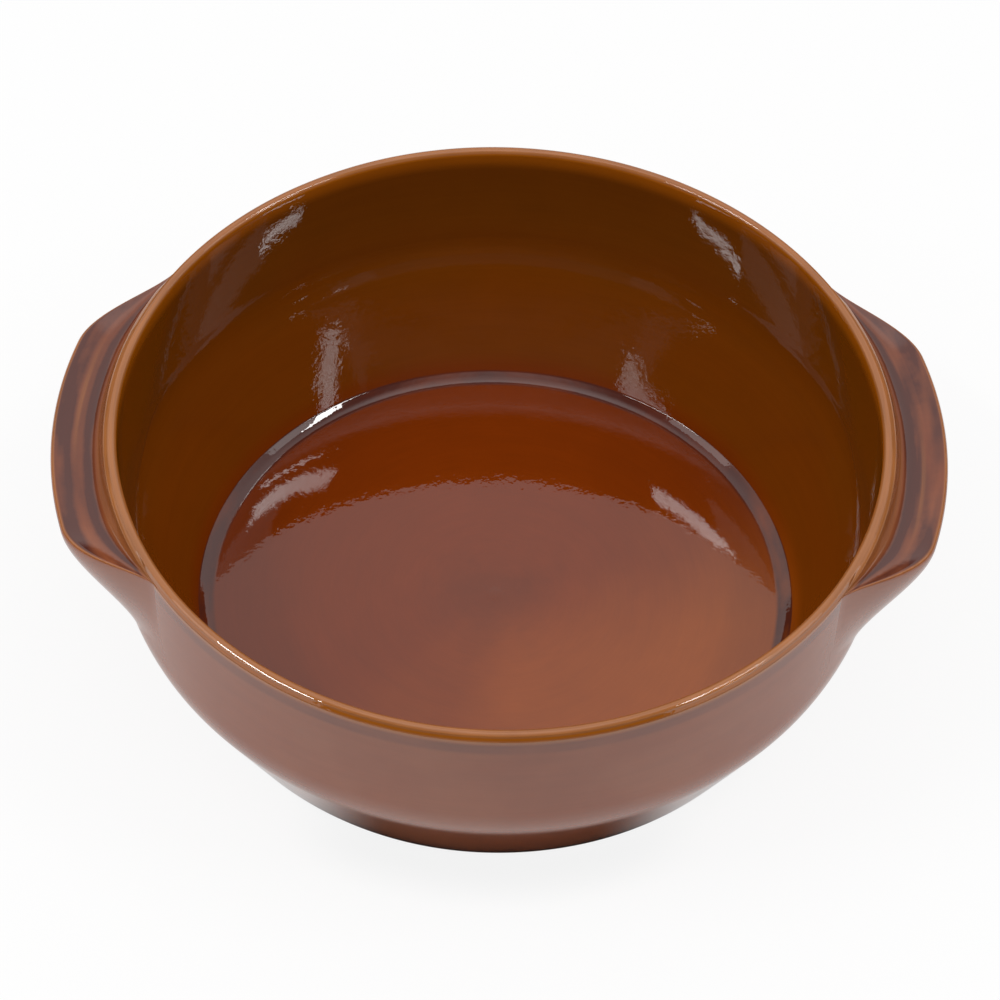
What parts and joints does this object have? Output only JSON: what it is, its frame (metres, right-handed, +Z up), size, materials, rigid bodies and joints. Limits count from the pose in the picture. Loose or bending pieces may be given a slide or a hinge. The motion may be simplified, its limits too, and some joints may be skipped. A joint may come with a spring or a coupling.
{
  "type": "serving dish",
  "caption": "Deep round serving dish in brown glazed stoneware, with a rounded lip, a tapered lower wall and a lug handle on each side.",
  "frame": {"origin": "middle of the foot, on the surface that the dish stands on", "axes": "+Z up out of the mouth, handles along X with the left one towards -X"},
  "size_m": [0.2732, 0.24, 0.087],
  "materials": {
    "brown_glaze": "glossy treacle-brown glaze over stoneware, thinner and tan on the lip and the edges",
    "fired_slip": "matt fired slip, buried in the joint between a handle and the wall"
  },
  "bodies": {
    "root": {"bowl": "brown_glaze", "left_handle": "brown_glaze", "right_handle": "brown_glaze", "left_slip_joint": "fired_slip", "right_slip_joint": "fired_slip"}
  },
  "joints": []
}
